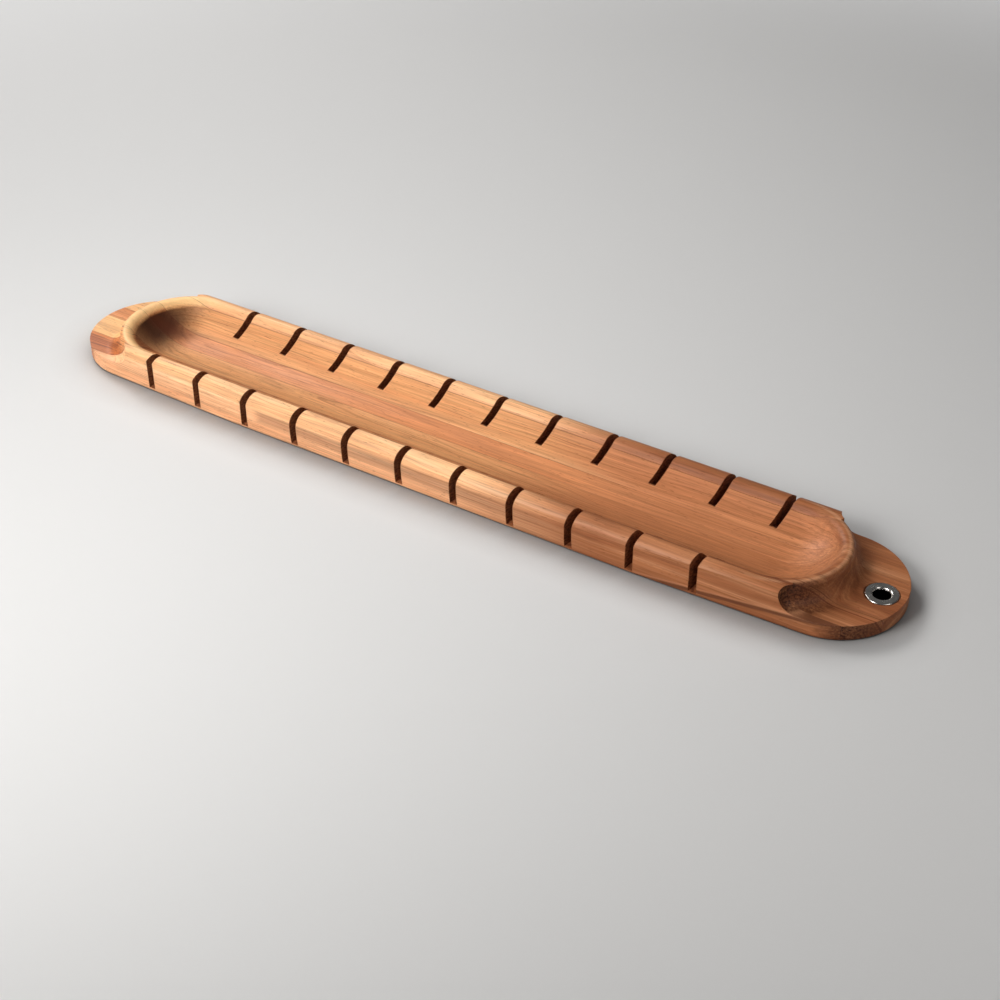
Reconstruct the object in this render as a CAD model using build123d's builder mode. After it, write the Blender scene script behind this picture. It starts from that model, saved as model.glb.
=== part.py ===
from build123d import *
from math import acos, cos, degrees, radians, sin, sqrt, tan
import os

os.makedirs("parts", exist_ok=True)

# Baguette board: a long hardwood board glued up from full-length staves. It has a
# round-bottomed trough, slanted knife slots through both walls, a thin half-round
# lip at each end, and a steel hanging eyelet clenched on a washer in one lip.
# X runs along the board towards the eyelet, Y across it, Z up from the table.
# Millimetres. The origin is the middle of the underside.

# Board blank
board_length = 560.0
board_height = 24.0
base_width = 88.0
belly_width = 90.0
belly_height = 15.0
base_edge_radius = 2.0

# Plan outline: a broad middle that tapers straight to a half-round end
plan_width = 90.4
taper_start_x = 105.0
end_radius = 41.5

# Trough
trough_length = 418.0
trough_shift = -2.8
rim_inner_half = 37.0
trough_floor = 6.75
rim_round = 5.0

# Lips at both ends, and the cove that leaves a rim standing round the trough
lip_thickness = 10.4
rim_flat = 0.6
rim_outer_round = 3.2
cove_run = 26.0

# Knife slots, each sawn from outside by a round blade through one wall
slot_count = 11
slot_pitch = 38.1
slot_width = 4.4
slot_angle = 15.0
slot_skin = 1.8
saw_radius = 55.0
saw_centre_y = 52.0

# Glue lines between the staves, from the near side to the far side
glue_lines = [-36.0, -19.0, 1.5, 14.5, 31.0]
stave_names = [
    "near_wall_stave",
    "near_slope_stave",
    "near_floor_stave",
    "far_floor_stave",
    "far_slope_stave",
    "far_wall_stave",
]

# Hanging eyelet and its back washer
eyelet_inset = 13.4
eyelet_hole_radius = 4.8
eyelet_wall = 0.8
eyelet_flange_radius = 9.4
eyelet_flange_height = 1.3
eyelet_throat_round = 1.6
eyelet_edge_round = 0.9
eyelet_recess_depth = 0.8
washer_thickness = 0.7
washer_recess_depth = 1.2
clench_width = 1.5
clench_thickness = 0.3
bore_clearance = 0.1
recess_clearance = 0.4

# Worked-out places
half_length = board_length / 2
end_centre_x = half_length - end_radius
above = 2 * board_height
rim_drop = trough_floor - board_height + rim_round
trough_radius = (rim_inner_half**2 + rim_drop**2 - rim_round**2) / (2 * (rim_round - rim_drop))
trough_axis_height = trough_floor + trough_radius
trough_half = sqrt(trough_radius**2 - (trough_axis_height - board_height) ** 2)
trough_ends = [trough_shift - trough_length / 2, trough_shift + trough_length / 2]
eyelet_x = half_length - eyelet_inset
seat_height = lip_thickness - eyelet_recess_depth
barrel_radius = eyelet_hole_radius + eyelet_wall
bore_radius = barrel_radius + bore_clearance
recess_radius = eyelet_flange_radius + recess_clearance
cove_radius = board_height - rim_outer_round - lip_thickness
cove_reach = 2 * plan_width
pocket_x = trough_length / 2 + cove_run
saw_centre_height = slot_skin + saw_radius


# The outer shape: the wall section run the whole length, trimmed to the plan outline
with BuildPart() as board:
    with BuildSketch(Plane.YZ.offset(-half_length)):
        with BuildLine():
            belly = (belly_width / 2, belly_height)
            base = (base_width / 2, 0)
            crest = (rim_inner_half + rim_flat, board_height)
            TangentArc(belly, base, tangent=(0, -1))
            TangentArc(belly, crest, tangent=(0, 1))
            Polyline(crest, (0, board_height), (0, 0), base)
        make_face()
        mirror(about=Plane.YZ)
    extrude(amount=board_length)
    with BuildSketch() as plan:
        with Locations((-end_centre_x, 0), (end_centre_x, 0)):
            Circle(end_radius)
        Rectangle(2 * taper_start_x, plan_width)
        make_hull()
    extrude(amount=board_height, mode=Mode.INTERSECT)
    fillet(board.faces().sort_by(Axis.Z)[0].edges(), base_edge_radius)

# The trough: a round section run between two half-round ends
with BuildPart() as trough:
    trough_side = (trough_half, board_height)
    with BuildSketch(Plane.YZ.offset(trough_ends[0])):
        with BuildLine():
            RadiusArc((0, trough_floor), trough_side, -trough_radius)
            Polyline(trough_side, (trough_half, above), (0, above), (0, trough_floor))
        make_face()
        mirror(about=Plane.YZ)
    extrude(amount=trough_length)
    for end_x, turn in zip(trough_ends, (1, -1)):
        with BuildSketch(Plane.YZ.offset(end_x)):
            with BuildLine():
                RadiusArc((0, trough_floor), trough_side, -trough_radius)
                Polyline(trough_side, (trough_half, above), (0, above), (0, trough_floor))
            make_face()
        revolve(axis=Axis((end_x, 0, 0), (0, 0, turn)), revolution_arc=180)

# The cove at each end: a rim left standing round the trough, then the flat lip.
# It ends at each side in a round-ended pocket in the shoulder of the wall
with BuildPart() as coves:
    rim_edge = (rim_inner_half + rim_flat, board_height)
    rim_foot = (rim_edge[0] + rim_outer_round, board_height - rim_outer_round)
    cove_toe = (rim_foot[0] + cove_radius, lip_thickness)
    for end_x, outward in zip(trough_ends, (180, 0)):
        for side in (-1, 1):
            cove_half_angle = degrees(acos((pocket_x - abs(end_x)) / cove_toe[0]))
            turn = radians(outward + side * cove_half_angle)
            along = Vector(cos(turn), sin(turn), 0)
            across = Vector(sin(turn), -cos(turn), 0)
            start = Plane(origin=(end_x, 0, 0), x_dir=along, z_dir=across)
            with BuildSketch(start):
                with BuildLine():
                    TangentArc(rim_edge, rim_foot, tangent=(1, 0))
                    TangentArc(rim_foot, cove_toe, tangent=(0, -1))
                    Polyline(cove_toe, (cove_reach, lip_thickness), (cove_reach, above))
                    Polyline((cove_reach, above), (rim_edge[0], above), rim_edge)
                make_face()
            revolve(axis=Axis((end_x, 0, 0), (0, 0, -side)), revolution_arc=cove_half_angle)
            with BuildSketch(start):
                with BuildLine():
                    TangentArc(rim_foot, cove_toe, tangent=(0, -1))
                    Polyline(cove_toe, (cove_toe[0], above), (rim_foot[0], above), rim_foot)
                make_face()
            pocket_centre = start.from_local_coords((cove_toe[0], 0, 0))
            revolve(axis=Axis(pocket_centre, (0, 0, -side)), revolution_arc=180)

# The knife slots: one round saw cut from each side, in line with each other
with BuildPart() as saw_cuts:
    angle = radians(slot_angle)
    for number in range(slot_count):
        slot_x = trough_shift + (number - (slot_count - 1) / 2) * slot_pitch
        for side in (-1, 1):
            centre = (slot_x + side * saw_centre_y * tan(angle), side * saw_centre_y, saw_centre_height)
            with BuildSketch(Plane(origin=centre, z_dir=(cos(angle), -sin(angle), 0))):
                Circle(saw_radius)
            extrude(amount=slot_width / 2, both=True)

with BuildPart() as carved:
    add(board.part)
    add(trough.part, mode=Mode.SUBTRACT)
    crest_face = carved.faces().filter_by(Plane.XY).sort_by(Axis.Z)[-1]
    fillet(crest_face.inner_wires()[0].edges(), rim_round)
    add(coves.part, mode=Mode.SUBTRACT)
    add(saw_cuts.part, mode=Mode.SUBTRACT)
    with BuildSketch(Plane.XY.offset(seat_height)):
        with Locations((eyelet_x, 0)):
            Circle(recess_radius)
    extrude(amount=above, mode=Mode.SUBTRACT)
    with BuildSketch(Plane.XY):
        with Locations((eyelet_x, 0)):
            Circle(recess_radius)
    extrude(amount=washer_recess_depth, mode=Mode.SUBTRACT)
    with BuildSketch(Plane.XY):
        with Locations((eyelet_x, 0)):
            Circle(bore_radius)
    extrude(amount=above, mode=Mode.SUBTRACT)

# The staves: the carved board parted at its glue lines
stave_sides = [-plan_width / 2, *glue_lines, plan_width / 2]
for name, low, high in zip(stave_names, stave_sides[:-1], stave_sides[1:]):
    with BuildPart() as stave:
        add(carved.part)
        with Locations((0, (low + high) / 2, board_height / 2)):
            Box(board_length, high - low, board_height, mode=Mode.INTERSECT)
    stave.part.label = name
    export_step(stave.part, f"parts/{name}.step")

# The hanging eyelet: a pressed flange, a barrel and a foot clenched over the washer
flange_top = seat_height + eyelet_flange_height
washer_bottom = washer_recess_depth - washer_thickness
clench_bottom = washer_bottom - clench_thickness
clench_radius = barrel_radius + clench_width
eyelet_axis = Axis((eyelet_x, 0, 0), (0, 0, 1))
eyelet_plane = Plane(origin=(eyelet_x, 0, 0), x_dir=(1, 0, 0), z_dir=(0, -1, 0))

with BuildPart() as hanging_eyelet:
    with BuildSketch(eyelet_plane):
        with BuildLine():
            flange_side = (eyelet_flange_radius, flange_top - eyelet_edge_round)
            flange_rim = (eyelet_flange_radius - eyelet_edge_round, flange_top)
            throat_top = (eyelet_hole_radius + eyelet_throat_round, flange_top)
            throat_side = (eyelet_hole_radius, flange_top - eyelet_throat_round)
            TangentArc(flange_side, flange_rim, tangent=(0, 1))
            Line(flange_rim, throat_top)
            TangentArc(throat_top, throat_side, tangent=(-1, 0))
            Polyline(
                throat_side,
                (eyelet_hole_radius, clench_bottom),
                (clench_radius, clench_bottom),
                (clench_radius, washer_bottom),
                (barrel_radius, washer_bottom),
                (barrel_radius, seat_height),
                (eyelet_flange_radius, seat_height),
                flange_side,
            )
        make_face()
    revolve(axis=eyelet_axis)
hanging_eyelet.part.label = "hanging_eyelet"
export_step(hanging_eyelet.part, "parts/hanging_eyelet.step")

# The back washer, in its recess under the lip
with BuildPart() as eyelet_washer:
    with BuildSketch(Plane.XY.offset(washer_bottom)):
        with Locations((eyelet_x, 0)):
            Circle(eyelet_flange_radius)
            Circle(bore_radius, mode=Mode.SUBTRACT)
    extrude(amount=washer_thickness)
eyelet_washer.part.label = "eyelet_washer"
export_step(eyelet_washer.part, "parts/eyelet_washer.step")
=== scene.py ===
from math import cos, radians, sin

import bpy
from mathutils import Euler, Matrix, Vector


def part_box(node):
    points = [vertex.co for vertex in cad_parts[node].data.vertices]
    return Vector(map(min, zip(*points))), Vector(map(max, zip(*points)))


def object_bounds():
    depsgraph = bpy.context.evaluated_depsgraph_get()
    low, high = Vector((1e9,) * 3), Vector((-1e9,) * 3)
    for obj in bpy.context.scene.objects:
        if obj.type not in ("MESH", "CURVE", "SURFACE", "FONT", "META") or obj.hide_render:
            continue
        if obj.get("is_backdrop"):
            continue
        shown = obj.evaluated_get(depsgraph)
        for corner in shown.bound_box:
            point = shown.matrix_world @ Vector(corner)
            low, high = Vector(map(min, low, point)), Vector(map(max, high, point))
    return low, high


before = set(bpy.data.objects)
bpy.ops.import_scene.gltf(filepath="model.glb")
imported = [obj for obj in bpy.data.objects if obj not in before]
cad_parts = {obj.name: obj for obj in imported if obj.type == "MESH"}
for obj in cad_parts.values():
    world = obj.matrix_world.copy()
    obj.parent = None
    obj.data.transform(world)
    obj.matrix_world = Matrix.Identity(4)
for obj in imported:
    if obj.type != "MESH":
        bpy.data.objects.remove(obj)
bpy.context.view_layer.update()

# Millimetres in a metre, which is the frame's unit
MM = 1000.0

# Where the board is carved, in millimetres, for the patterns that follow its shapes
SLOT_COUNT = 11
SLOT_PITCH = 38.1
SLOT_WIDTH = 4.4
SLOT_ANGLE = radians(15.0)
SLOT_SKIN = 1.8
SAW_RADIUS = 55.0
SAW_CENTRE_Y = 52.0
SAW_CENTRE_Z = SLOT_SKIN + SAW_RADIUS
TROUGH_MIDDLE_X = -2.8
TROUGH_HALF = 209.0
TROUGH_SIDE = 37.0
EYELET_X = 266.6
EYELET_THROAT = (5.2, 5.7)
EYELET_SHADE_Z = (8.6, 10.0)

# Where the wood's looks change, in millimetres. A pair is where a change starts and ends, and
# a value named OFF is measured in plan from the line along the trough's middle
HEARTWOOD_X = (15.0, 110.0)
HEARTWOOD_WANDER = 120.0
INSIDE_OFF = (TROUGH_SIDE - 6.5, TROUGH_SIDE - 4.0)
RIM_OFF = TROUGH_SIDE - 1.5
PALE_RIM_X = (-235.0, -190.0)
RIDGE_OFF = TROUGH_SIDE + 1.2
RIDGE_X = (195.0, 215.0)
CREST_Z = (13.0, 21.0)
NEAR_COVE_Y = (-34.0, -14.0)
TOE_INNER_OFF = (40.0, 43.0)
TOE_OUTER_OFF = (48.0, 53.0)
TOE_X = (212.0, 220.0)
TOE_Z = (13.0, 17.0)
TROUGH_END_Y = 3.0
HEART_STREAK_X = (-226.0, -198.0)
CREASE_X = (120.0, 170.0)
BASE_EDGE_Z = (0.3, 2.4)

# The two lines that run aslant: a point on each, in millimetres, and its slope along X
HEART_STREAK_POINT = (-243.0, 3.0)
HEART_STREAK_SLOPE = 0.31
CREASE_POINT = (150.0, 2.0)
CREASE_SLOPE = 0.093

# Growth rings, in millimetres: how far the grain wanders, and how wide a ring is
WANDER = 7.0
RIPPLE = 1.6
RING_WIDTHS = (2.6, 3.4)

# How fine each noise along a radius is, per millimetre
BAND_FINENESS = 0.11
RING_WIDTH_FINENESS = 0.05
STREAK_FINENESS = 0.8
TURNING_FINENESS = 2.4

# How fine each other noise is, per millimetre along X, Y and Z: the grain runs along the board
WANDER_SCALE = (0.007, 0.045, 0.045)
RIPPLE_SCALE = (0.03, 0.16, 0.16)
CLOUD_SCALE = (0.012, 0.07, 0.07)
HEARTWOOD_SCALE = (0.006, 0.02, 0.02)
FADE_SCALE = (0.01, 0.12, 0.12)
STREAK_SCALE = (0.009, 0.09, 0.09)
FIBRE_SCALE = (0.03, 1.3, 1.3)
COARSE_SCALE = (0.014, 0.5, 0.5)
PORE_SCALE = (0.2, 1.7, 1.7)
SPECK_SCALE = (0.5, 0.9, 0.9)
CHAR_SCALE = (0.5, 0.5, 0.9)
POLISH_SCALE = (0.02, 0.06, 0.06)
HAZE_SCALE = (0.25, 0.25, 0.25)
FINE_SCALE = (3.0, 3.0, 9.0)

# How far the wood's edges are softened and how high the surfaces are bumped, in metres
EDGE_ROUND = 0.0005
WOOD_BUMP = 0.00006
STEEL_BUMP = 0.00005

# The floor, in metres
FLOOR_HALF = 6.0
CONTACT_REACH = 0.03
FLOOR_FADE = (0.65, 1.35)

# How bright the background looks, and the room's light from the plain end's side to the other
BACKGROUND_LIGHT = 0.8
ROOM_LIGHT = (0.18, 0.05)

# The camera, in metres, where the photograph's was, with its lens and sensor in millimetres
CAMERA_PLACE = (0.4779, -0.7220, 0.6077)
CAMERA_PITCH = radians(53.537)
CAMERA_YAW = radians(31.963)
CAMERA_LENS = 63.54
CAMERA_SENSOR = 36.0


def srgb(red, green, blue):
    """A colour written as 0 to 255, as the linear value that a shader takes."""
    def linear(value):
        share = value / 255
        return share / 12.92 if share <= 0.04045 else ((share + 0.055) / 1.055) ** 2.4
    return (linear(red), linear(green), linear(blue), 1.0)


def palette(*colours):
    """The colours of one wood, from its darkest tone to its palest, as a ramp's stops."""
    return list(zip((0.0, 0.35, 0.7, 1.0), (srgb(*colour) for colour in colours)))


ROSY = palette((230, 162, 115), (237, 173, 127), (241, 182, 136), (246, 200, 156))
RED = palette((138, 72, 36), (184, 106, 58), (216, 136, 80), (234, 162, 106))
AMBER = palette((176, 104, 58), (206, 130, 76), (222, 148, 92), (234, 170, 114))
CREAM = palette((218, 154, 98), (236, 178, 118), (243, 190, 130), (248, 204, 148))
DEEP = palette((134, 77, 45), (156, 94, 58), (172, 110, 71), (190, 130, 90))

TROUGH_BROWN = srgb(200, 130, 84)
RIDGE_PAINTED_HIGHLIGHT = srgb(222, 168, 128)
CREST_PAINTED_HIGHLIGHT = srgb(238, 180, 122)
LATE_WOOD = srgb(138, 76, 42)
MINERAL_BROWN = srgb(116, 60, 34)
PORE_BROWN = srgb(98, 50, 26)
RIM_PAINTED_LIGHT = srgb(255, 210, 150)
END_GRAIN_AND_SHADE_BROWN = srgb(52, 20, 8)
HEART_AND_SHADE_BROWN = srgb(84, 40, 20)
GLUE_BROWN = srgb(84, 42, 24)
CREASE_LIT = srgb(214, 150, 110)
CREASE_SHADE = srgb(92, 50, 32)
BASE_CONTACT_SHADE = srgb(104, 64, 44)
BURNT_DARK = srgb(92, 46, 24)
BURNT_PALE = srgb(148, 84, 48)
STEEL_DULL = srgb(186, 182, 176)
STEEL_BRIGHT = srgb(218, 214, 209)
BARREL_PAINTED_SHADE = srgb(30, 26, 23)
FLOOR_PALE = srgb(212, 212, 212)
FLOOR_CONTACT = srgb(30, 28, 27)
WHITE = (1.0, 1.0, 1.0, 1.0)

# The wood of each stave: its seed, its pith's place in Y and Z with the lean in each along X,
# its palette and how streaky it is
STAVES = {
    "near_wall_stave": ((3.1, 7.4, 1.9), (-30.0, -46.0, 0.02, -0.01), ROSY, 0.2),
    "near_slope_stave": ((11.3, 2.6, 5.2), (-64.0, -22.0, -0.015, 0.02), RED, 0.85),
    "near_floor_stave": ((5.8, 13.1, 8.7), (12.0, -70.0, 0.01, 0.03), CREAM, 0.25),
    "far_floor_stave": ((17.2, 4.9, 12.4), (40.0, -38.0, 0.02, 0.01), AMBER, 0.3),
    "far_slope_stave": ((8.6, 19.5, 3.3), (2.0, -60.0, -0.02, 0.015), CREAM, 0.25),
    "far_wall_stave": ((21.4, 9.2, 15.6), (66.0, -30.0, 0.01, -0.02), ROSY, 0.25),
}
CREASED_STAVE = "near_wall_stave"


class Nodes:
    """Adds nodes to one tree. The add call returns the new node, put returns nothing, and each
    other call returns what comes out of its last node."""

    def __init__(self, tree):
        self.tree = tree

    def add(self, kind, **settings):
        node = self.tree.nodes.new(kind)
        for key, value in settings.items():
            setattr(node, key, value)
        return node

    def put(self, socket, value):
        if isinstance(value, bpy.types.NodeSocket):
            self.tree.links.new(value, socket)
        elif value is not None:
            socket.default_value = value

    def math(self, operation, a, b=None, c=None, clamp=False):
        node = self.add("ShaderNodeMath", operation=operation, use_clamp=clamp)
        for socket, value in zip(node.inputs, (a, b, c)):
            self.put(socket, value)
        return node.outputs[0]

    def product(self, first, *others):
        for other in others:
            first = self.math("MULTIPLY", first, other)
        return first

    def hypotenuse(self, a, b):
        squares = self.math("ADD", self.product(a, a), self.product(b, b))
        return self.math("SQRT", squares)

    def rest(self, share):
        return self.math("SUBTRACT", 1.0, share)

    def combine(self, x, y, z):
        node = self.add("ShaderNodeCombineXYZ")
        for socket, value in zip(node.inputs, (x, y, z)):
            self.put(socket, value)
        return node.outputs[0]

    def separate(self, vector):
        node = self.add("ShaderNodeSeparateXYZ")
        self.put(node.inputs[0], vector)
        return node.outputs

    def stretch(self, vector, scale, offset=(0, 0, 0)):
        node = self.add("ShaderNodeVectorMath", operation="MULTIPLY_ADD")
        self.put(node.inputs[0], vector)
        node.inputs[1].default_value = scale
        node.inputs[2].default_value = offset
        return node.outputs[0]

    def place(self, scale=(MM, MM, MM)):
        """The point in the frame that all pieces share, in millimetres or at another scale."""
        return self.stretch(self.add("ShaderNodeTexCoord").outputs["Object"], scale)

    def noise(self, place, scale, seed=(0, 0, 0), detail=2.0, roughness=0.5):
        node = self.add("ShaderNodeTexNoise")
        self.put(node.inputs["Vector"], self.stretch(place, scale, seed))
        node.inputs["Scale"].default_value = 1.0
        node.inputs["Detail"].default_value = detail
        node.inputs["Roughness"].default_value = roughness
        return node.outputs["Fac"]

    def noise_line(self, along, scale, detail=2.0, roughness=0.5):
        node = self.add("ShaderNodeTexNoise", noise_dimensions="1D")
        self.put(node.inputs["W"], along)
        node.inputs["Scale"].default_value = scale
        node.inputs["Detail"].default_value = detail
        node.inputs["Roughness"].default_value = roughness
        return node.outputs["Fac"]

    def sway(self, place, scale, seed, width, detail=2.0):
        """A slow noise round nought, of the given full width."""
        noise = self.noise(place, scale, seed, detail)
        return self.math("MULTIPLY", self.math("SUBTRACT", noise, 0.5), width)

    def fit(self, value, low, high, out_low=0.0, out_high=1.0, smooth=True):
        kind = "SMOOTHSTEP" if smooth else "LINEAR"
        node = self.add("ShaderNodeMapRange", interpolation_type=kind)
        self.put(node.inputs["Value"], value)
        node.inputs["From Min"].default_value = low
        node.inputs["From Max"].default_value = high
        node.inputs["To Min"].default_value = out_low
        node.inputs["To Max"].default_value = out_high
        return node.outputs["Result"]

    def near(self, value, place, full, end, share=1.0, floor=0.0):
        """The share within one distance of a place, sinking to the floor at another."""
        off = self.math("ABSOLUTE", self.math("SUBTRACT", value, place))
        return self.fit(off, full, end, share, floor)

    def ramp(self, value, stops):
        node = self.add("ShaderNodeValToRGB")
        self.put(node.inputs[0], value)
        elements = node.color_ramp.elements
        while len(elements) < len(stops):
            elements.new(0.5)
        for element, (place, colour) in zip(elements, stops):
            element.position = place
            element.color = colour
        return node.outputs[0]

    def mix(self, share, a, b, blend="MIX"):
        node = self.add("ShaderNodeMix", data_type="RGBA", blend_type=blend, clamp_factor=True)
        self.put(node.inputs[0], share)
        self.put(node.inputs[6], a)
        self.put(node.inputs[7], b)
        return node.outputs[2]

    def bump(self, height, distance, normal=None):
        node = self.add("ShaderNodeBump")
        self.put(node.inputs["Height"], height)
        node.inputs["Distance"].default_value = distance
        node.inputs["Strength"].default_value = 1.0
        self.put(node.inputs["Normal"], normal)
        return node.outputs[0]


def new_material(name):
    material = bpy.data.materials.new(name)
    material.use_nodes = True
    return material, Nodes(material.node_tree), material.node_tree.nodes["Principled BSDF"]


def from_trough(n, x, y):
    """How far a point lies, in plan, from the line along the trough's middle."""
    along = n.math("ABSOLUTE", n.math("SUBTRACT", x, TROUGH_MIDDLE_X))
    past_end = n.math("MAXIMUM", n.math("SUBTRACT", along, TROUGH_HALF), 0.0)
    return n.hypotenuse(past_end, y)


def slot_burn(n, x, y, z):
    """How far a point is burnt by the saw: 1 on the walls and floors of the slots, else 0."""
    pitch = SLOT_PITCH * cos(SLOT_ANGLE)
    across = n.math("MULTIPLY", n.math("SUBTRACT", x, TROUGH_MIDDLE_X), cos(SLOT_ANGLE))
    across = n.math("SUBTRACT", across, n.math("MULTIPLY", y, sin(SLOT_ANGLE)))
    number = n.math("DIVIDE", across, pitch)
    from_slot = n.math("ABSOLUTE", n.math("SUBTRACT", number, n.math("ROUND", number)))
    from_slot = n.math("MULTIPLY", from_slot, pitch)
    in_slot = n.fit(from_slot, SLOT_WIDTH / 2 + 0.02, SLOT_WIDTH / 2 + 0.35, 1.0, 0.0)
    in_row = n.math("LESS_THAN", n.math("ABSOLUTE", number), SLOT_COUNT / 2)
    out = n.math("DIVIDE", n.math("ABSOLUTE", y), cos(SLOT_ANGLE))
    out = n.math("SUBTRACT", out, SAW_CENTRE_Y / cos(SLOT_ANGLE))
    reach = n.hypotenuse(out, n.math("SUBTRACT", z, SAW_CENTRE_Z))
    in_saw = n.fit(reach, SAW_RADIUS + 0.05, SAW_RADIUS + 0.5, 1.0, 0.0)
    return n.product(in_slot, in_saw, in_row)


def ring_distance(n, place, seed, pith):
    """How far a point lies from the stave's pith, with the slow wander of the grain."""
    x, y, z = n.separate(place)
    wander = n.sway(place, WANDER_SCALE, seed, WANDER)
    ripple = n.sway(place, RIPPLE_SCALE, seed, RIPPLE)
    pith_y, pith_z, lean_y, lean_z = pith
    away_y = n.math("MULTIPLY_ADD", x, -lean_y, n.math("SUBTRACT", y, pith_y))
    away_z = n.math("MULTIPLY_ADD", x, -lean_z, n.math("SUBTRACT", z, pith_z))
    return n.math("ADD", n.hypotenuse(away_y, away_z), n.math("ADD", wander, ripple))


def ring_tone(n, place, ring, seed, tones, deeper):
    """Sapwood that turns to heartwood, in bands that follow the rings."""
    band = n.noise_line(ring, BAND_FINENESS, detail=4.0, roughness=0.65)
    cloud = n.noise(place, CLOUD_SCALE, seed[::-1], detail=3.0)
    tone = n.math("ADD", n.math("MULTIPLY", band, 0.7), n.math("MULTIPLY", cloud, 0.3))
    tone = n.fit(tone, 0.34, 0.66, smooth=False)
    return n.mix(deeper, n.ramp(tone, tones), n.ramp(tone, DEEP))


def trough_tone(n, colour, x, z, off_line, inside, deeper):
    """Browner wood in the trough, a painted highlight along the ridge round its eyelet end, and a
    golden painted highlight on the crests.
    """
    colour = n.mix(n.math("MULTIPLY", inside, 0.6), colour, TROUGH_BROWN)
    # Painted highlight along the outer ridge of the rim at the eyelet's end
    ridge = n.math("MULTIPLY", n.near(off_line, RIDGE_OFF, 0.4, 1.8, 0.4), n.fit(x, *RIDGE_X))
    colour = n.mix(ridge, colour, RIDGE_PAINTED_HIGHLIGHT)
    # Painted highlight: the walls are painted paler and more golden towards their crests
    crest_highlight = n.product(n.fit(z, *CREST_Z, 0.0, 0.42), n.rest(inside), n.rest(deeper))
    return n.mix(crest_highlight, colour, CREST_PAINTED_HIGHLIGHT)


def rings_and_streaks(n, colour, place, ring, seed, streakiness):
    """Growth rings that darken slowly and end sharply, and dark mineral streaks."""
    width = n.noise_line(ring, RING_WIDTH_FINENESS, detail=1.0)
    width = n.fit(width, 0.3, 0.7, *RING_WIDTHS, smooth=False)
    phase = n.math("FRACT", n.math("DIVIDE", ring, width))
    late = n.math("MULTIPLY", n.math("POWER", phase, 6.0), n.fit(phase, 0.95, 1.0, 1.0, 0.0))
    fade = n.noise(place, FADE_SCALE, seed)
    late = n.product(late, n.fit(fade, 0.35, 0.65, 0.15, 0.75), 0.7)
    colour = n.mix(late, colour, LATE_WOOD)
    streak = n.fit(n.noise_line(ring, STREAK_FINENESS, roughness=0.6), 0.53, 0.63)
    run = n.noise(place, STREAK_SCALE, seed[1:] + seed[:1])
    streak = n.product(streak, n.fit(run, 0.38, 0.56), streakiness)
    return n.mix(streak, colour, MINERAL_BROWN)


def fibres_and_pores(n, colour, place, seed):
    """Fine and coarse fibres with open pores: the colour, the fibres and the pores."""
    fibre = n.noise(place, FIBRE_SCALE, seed, detail=3.0, roughness=0.6)
    coarse = n.noise(place, COARSE_SCALE, seed, detail=3.0, roughness=0.6)
    grain = n.math("ADD", n.math("MULTIPLY", fibre, 0.55), n.math("MULTIPLY", coarse, 0.45))
    shade = n.fit(grain, 0.3, 0.7, 0.66, 1.3, smooth=False)
    colour = n.mix(1.0, colour, n.combine(shade, shade, shade), "MULTIPLY")
    pore = n.fit(n.noise(place, PORE_SCALE, seed[::-1], detail=1.0), 0.66, 0.73)
    colour = n.mix(n.math("MULTIPLY", pore, 0.42), colour, PORE_BROWN)
    return colour, grain, pore


def end_grain_and_shade(n, place, off_line, inside, deeper):
    """How much oil the cut end grain drank, together with painted shade. It is most on faces
    towards the eyelet's end, on the near side of that end's cove and down to the toe of its near
    pocket, and there it is painted shade as well as darker end grain."""
    x, y, z = n.separate(place)
    facing, _, upward = n.separate(n.add("ShaderNodeNewGeometry").outputs["Normal"])
    # Painted shade on the near side of the cove, on the trough's end wall and down to the
    # pocket's toe
    cove = n.math("MULTIPLY", n.fit(facing, 0.12, 0.56), n.fit(y, *NEAR_COVE_Y, 1.0, 0.05))
    middle = n.near(y, TROUGH_END_Y, 6.0, 28.0, 1.0, 0.6)
    trough_end = n.product(n.fit(facing, -0.02, 0.5), middle, inside)
    toe = n.product(
        n.fit(off_line, *TOE_INNER_OFF),
        n.fit(off_line, *TOE_OUTER_OFF, 0.85, 0.0),
        n.fit(y, *NEAR_COVE_Y, 1.0, 0.0),
        n.fit(upward, 0.2, 0.6),
        n.fit(z, *TOE_Z, 1.0, 0.0),
        n.fit(x, *TOE_X),
    )
    open_grain_and_shade = n.math("MAXIMUM", n.math("MAXIMUM", cove, trough_end), toe)
    closed = n.fit(facing, -0.95, -0.3, 0.25, 0.0)
    speck = n.noise(place, SPECK_SCALE, roughness=0.7)
    speck = n.math("MAXIMUM", n.fit(speck, 0.36, 0.64, 0.55, 1.0), inside)
    reach = n.math("MAXIMUM", deeper, inside)
    return n.product(n.math("ADD", open_grain_and_shade, closed), speck, 0.95, reach)


def heart_streak_and_shade(n, x, y, inside):
    """A dark streak that runs aslant down the wall at the trough's plain end: darker heartwood
    with painted shade.
    """
    point_x, point_y = HEART_STREAK_POINT
    slant = n.math("MULTIPLY_ADD", n.math("SUBTRACT", x, point_x), HEART_STREAK_SLOPE, point_y)
    streak = n.near(y, slant, 1.0, 7.0, 0.5)
    return n.product(streak, n.fit(x, *HEART_STREAK_X, 1.0, 0.0), inside)


def glue_lines(n, y, sides, deeper):
    """The joints at both sides of a stave, a hair darker than the wood beside them."""
    low, high = (n.math("ABSOLUTE", n.math("SUBTRACT", y, side)) for side in sides)
    glue = n.fit(n.math("MINIMUM", low, high), 0.05, 0.3, 0.4, 0.0)
    return n.math("MULTIPLY", glue, n.fit(deeper, 0.0, 1.0, 1.0, 0.3))


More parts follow.
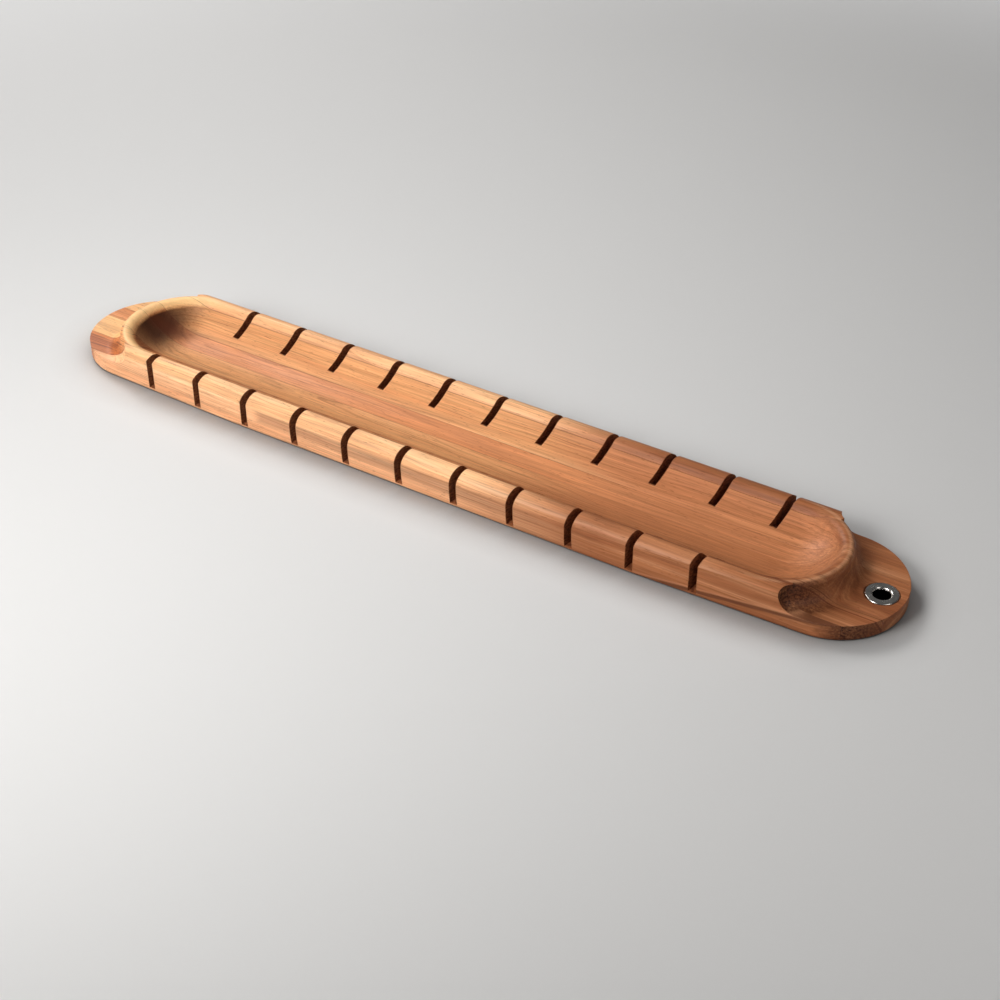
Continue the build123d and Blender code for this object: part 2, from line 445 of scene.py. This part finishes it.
def add_crease_light_and_shade(n, colour, x, z):
    """The lip's top edge runs on along the wall as a soft crease that sinks to the base, painted
    as a highlight above it and as painted shade, with a darker streak, below it.
    """
    point_x, point_z = CREASE_POINT
    fall = n.math("MULTIPLY_ADD", n.math("SUBTRACT", x, point_x), CREASE_SLOPE, point_z)
    over = n.math("SUBTRACT", z, fall)
    along = n.fit(x, *CREASE_X)
    lit = n.math("MULTIPLY", n.near(over, 0.9, 0.2, 1.1, 0.35), along)
    dark = n.math("MULTIPLY", n.near(over, -0.8, 0.4, 1.9, 0.75), along)
    return n.mix(dark, n.mix(lit, colour, CREASE_LIT), CREASE_SHADE)


def wood(node, seed, pith, tones, streakiness, sides):
    """Oiled acacia for one stave: growth rings round a pith outside the board, colour that turns
    from sapwood to heartwood, dark mineral streaks, fibres, pores, end grain and burnt slots,
    with painted highlights on its rims and crests and painted shade in its coves, along its
    crease and at its base edge."""
    material, n, shader = new_material(node + "_wood")
    place = n.place()
    x, y, z = n.separate(place)
    ring = ring_distance(n, place, seed, pith)
    turn = n.sway(place, HEARTWOOD_SCALE, seed, HEARTWOOD_WANDER, detail=1.0)
    deeper = n.fit(n.math("ADD", x, turn), *HEARTWOOD_X)
    off_line = from_trough(n, x, y)
    inside = n.fit(off_line, *INSIDE_OFF, 1.0, 0.0)

    colour = ring_tone(n, place, ring, seed, tones, deeper)
    colour = trough_tone(n, colour, x, z, off_line, inside, deeper)
    colour = rings_and_streaks(n, colour, place, ring, seed, streakiness)
    colour, grain, pore = fibres_and_pores(n, colour, place, seed)

    # Painted light: the trough's rim at the plain end is painted pale, standing in for light
    # falling on it
    rim = n.near(off_line, RIM_OFF, 2.0, 4.0, 0.72)
    rim = n.math("MULTIPLY", rim, n.fit(x, *PALE_RIM_X, 1.0, 0.0))
    colour = n.mix(rim, colour, RIM_PAINTED_LIGHT)

    # Darker oiled end grain, with painted shade in the eyelet end's cove and pocket and on the
    # plain end's inner wall
    colour = n.mix(end_grain_and_shade(n, place, off_line, inside, deeper), colour, END_GRAIN_AND_SHADE_BROWN)
    # A darker heartwood streak with painted shade, aslant down the wall at the trough's plain end
    colour = n.mix(heart_streak_and_shade(n, x, y, inside), colour, HEART_AND_SHADE_BROWN)
    colour = n.mix(glue_lines(n, y, sides, deeper), colour, GLUE_BROWN)
    # Painted highlight and painted shade along the crease on the near wall
    if node == CREASED_STAVE:
        colour = add_crease_light_and_shade(n, colour, x, z)

    # Painted shade: the edge that stands on the table is darkened as a contact shadow
    colour = n.mix(n.fit(z, *BASE_EDGE_Z, 0.6, 0.0), colour, BASE_CONTACT_SHADE)

    # Slots burnt by the saw
    burn = slot_burn(n, x, y, z)
    char = n.noise(place, CHAR_SCALE, seed, detail=3.0)
    burnt = n.mix(n.fit(char, 0.3, 0.7), BURNT_DARK, BURNT_PALE)
    colour = n.mix(n.math("MULTIPLY", burn, 0.95), colour, burnt)
    n.put(shader.inputs["Base Color"], colour)

    polish = n.fit(n.noise(place, POLISH_SCALE, seed, detail=3.0), 0.3, 0.7, 0.4, 0.52)
    rough = n.math("ADD", polish, n.math("MULTIPLY", pore, 0.2))
    rough = n.math("ADD", rough, n.math("MULTIPLY", burn, 0.35), clamp=True)
    n.put(shader.inputs["Roughness"], rough)
    shader.inputs["IOR"].default_value = 1.45
    shader.inputs["Specular IOR Level"].default_value = 0.24

    edge = n.add("ShaderNodeBevel", samples=4)
    edge.inputs["Radius"].default_value = EDGE_ROUND
    height = n.math("SUBTRACT", n.math("MULTIPLY", grain, 0.6), pore)
    n.put(shader.inputs["Normal"], n.bump(height, WOOD_BUMP, edge.outputs[0]))
    return material


def steel(name):
    """Bright polished steel with fine turning marks, a little handling haze and painted shade
    down its barrel.
    """
    material, n, shader = new_material(name)
    place = n.place()
    haze = n.noise(place, HAZE_SCALE, detail=4.0)
    fine = n.noise(place, FINE_SCALE, detail=3.0)
    x, y, z = n.separate(place)
    radius = n.hypotenuse(n.math("SUBTRACT", x, EYELET_X), y)
    in_throat = n.fit(radius, *EYELET_THROAT, 1.0, 0.0)
    # Painted shade down the eyelet's barrel, darkest low in the throat
    barrel = n.math("MULTIPLY", in_throat, n.fit(z, *EYELET_SHADE_Z, 1.0, 0.0))
    bright = n.ramp(haze, [(0.3, STEEL_DULL), (0.7, STEEL_BRIGHT)])
    n.put(shader.inputs["Base Color"], n.mix(barrel, bright, BARREL_PAINTED_SHADE))
    shader.inputs["Metallic"].default_value = 1.0
    rough = n.math("MULTIPLY_ADD", fine, 0.12, n.fit(haze, 0.3, 0.7, 0.12, 0.2))
    n.put(shader.inputs["Roughness"], rough)
    turned = n.noise_line(radius, TURNING_FINENESS, detail=3.0, roughness=0.7)
    height = n.math("ADD", turned, n.math("MULTIPLY", fine, 0.3))
    n.put(shader.inputs["Normal"], n.bump(height, STEEL_BUMP))
    return material


def floor_paint(name):
    """Pale paint that is shaded close under the board and fades, for the camera alone, into
    the background far from it."""
    material, n, shader = new_material(name)
    contact = n.add("ShaderNodeAmbientOcclusion", samples=16)
    contact.inputs["Distance"].default_value = CONTACT_REACH
    n.put(shader.inputs["Base Color"], n.mix(contact.outputs["AO"], FLOOR_CONTACT, FLOOR_PALE))
    shader.inputs["Roughness"].default_value = 0.7
    shader.inputs["Specular IOR Level"].default_value = 0.2
    away = n.add("ShaderNodeVectorMath", operation="LENGTH")
    n.put(away.inputs[0], n.place(scale=(1.0, 1.0, 0.0)))
    seen = n.add("ShaderNodeLightPath").outputs["Is Camera Ray"]
    fade = n.math("MULTIPLY", n.fit(away.outputs["Value"], *FLOOR_FADE), seen)
    pale = n.add("ShaderNodeEmission")
    pale.inputs["Strength"].default_value = BACKGROUND_LIGHT
    blend = n.add("ShaderNodeMixShader")
    for socket, value in zip(blend.inputs, (fade, shader.outputs[0], pale.outputs[0])):
        n.put(socket, value)
    n.put(material.node_tree.nodes["Material Output"].inputs["Surface"], blend.outputs[0])
    return material


def lamp(name, place, aim, size, power, colour, spread=180.0):
    """A soft round lamp, in metres and watts, turned towards its aim."""
    data = bpy.data.lights.new(name, "AREA")
    data.shape = "DISK"
    data.size = size
    data.energy = power
    data.color = colour
    data.spread = radians(spread)
    thing = bpy.data.objects.new(name, data)
    thing.location = place
    thing.rotation_euler = (Vector(aim) - Vector(place)).to_track_quat("-Z", "Y").to_euler()
    bpy.context.scene.collection.objects.link(thing)


def set_material(node, material):
    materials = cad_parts[node].data.materials
    materials.clear()
    materials.append(material)


for node, (seed, pith, tones, streakiness) in STAVES.items():
    low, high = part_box(node)
    set_material(node, wood(node, seed, pith, tones, streakiness, (low.y * MM, high.y * MM)))

polished = steel("polished_steel")
for node in ("hanging_eyelet", "eyelet_washer"):
    set_material(node, polished)

# The floor
floor_mesh = bpy.data.meshes.new("floor")
corner_signs = ((-1, -1), (1, -1), (1, 1), (-1, 1))
corners = [(x_sign * FLOOR_HALF, y_sign * FLOOR_HALF, 0) for x_sign, y_sign in corner_signs]
floor_mesh.from_pydata(corners, [], [(0, 1, 2, 3)])
floor_mesh.materials.append(floor_paint("floor_paint"))
floor = bpy.data.objects.new("floor", floor_mesh)
bpy.context.scene.collection.objects.link(floor)
floor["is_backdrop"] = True

# Light: a broad key behind the plain end, a narrow fill in front, and two weak lamps, a low one
# at the plain end and one for the cove at the eyelet's end
lamp("key", (-1.3, 0.6, 1.2), (-0.1, 0.0, 0.0), 0.8, 19.5, (1.0, 0.985, 0.965))
lamp("fill", (-0.3, -0.8, 0.62), (-0.08, 0.0, 0.0), 0.6, 2.4, (1.0, 0.985, 0.965), spread=80.0)
lamp("card", (-0.8, -0.45, 0.25), (-0.25, 0.0, 0.0), 0.5, 0.45, (1.0, 0.985, 0.975))
lamp("bounce", (0.72, -0.16, 0.42), (0.25, 0.0, 0.0), 0.3, 0.65, (1.0, 0.97, 0.94))

# A dim room, a little brighter at the plain end's side, that the camera sees as pale
world = bpy.data.worlds.new("room")
world.use_nodes = True
room = Nodes(world.node_tree)
background = world.node_tree.nodes["Background"]
background.inputs["Color"].default_value = WHITE
sky = room.separate(room.add("ShaderNodeTexCoord").outputs["Generated"])[0]
dim = room.fit(sky, -1.0, 1.0, *ROOM_LIGHT, smooth=False)
seen = room.add("ShaderNodeLightPath").outputs["Is Camera Ray"]
shown = room.math("MULTIPLY", seen, BACKGROUND_LIGHT)
room.put(background.inputs["Strength"], room.math("MAXIMUM", dim, shown))
bpy.context.scene.world = world

# The camera
camera = bpy.data.objects.new("camera", bpy.data.cameras.new("camera"))
camera.location = CAMERA_PLACE
camera.rotation_euler = Euler((CAMERA_PITCH, 0.0, CAMERA_YAW))
camera.data.lens = CAMERA_LENS
camera.data.sensor_width = CAMERA_SENSOR
bpy.context.scene.collection.objects.link(camera)
bpy.context.scene.camera = camera
bpy.context.scene.view_settings.view_transform = "Standard"

low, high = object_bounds()
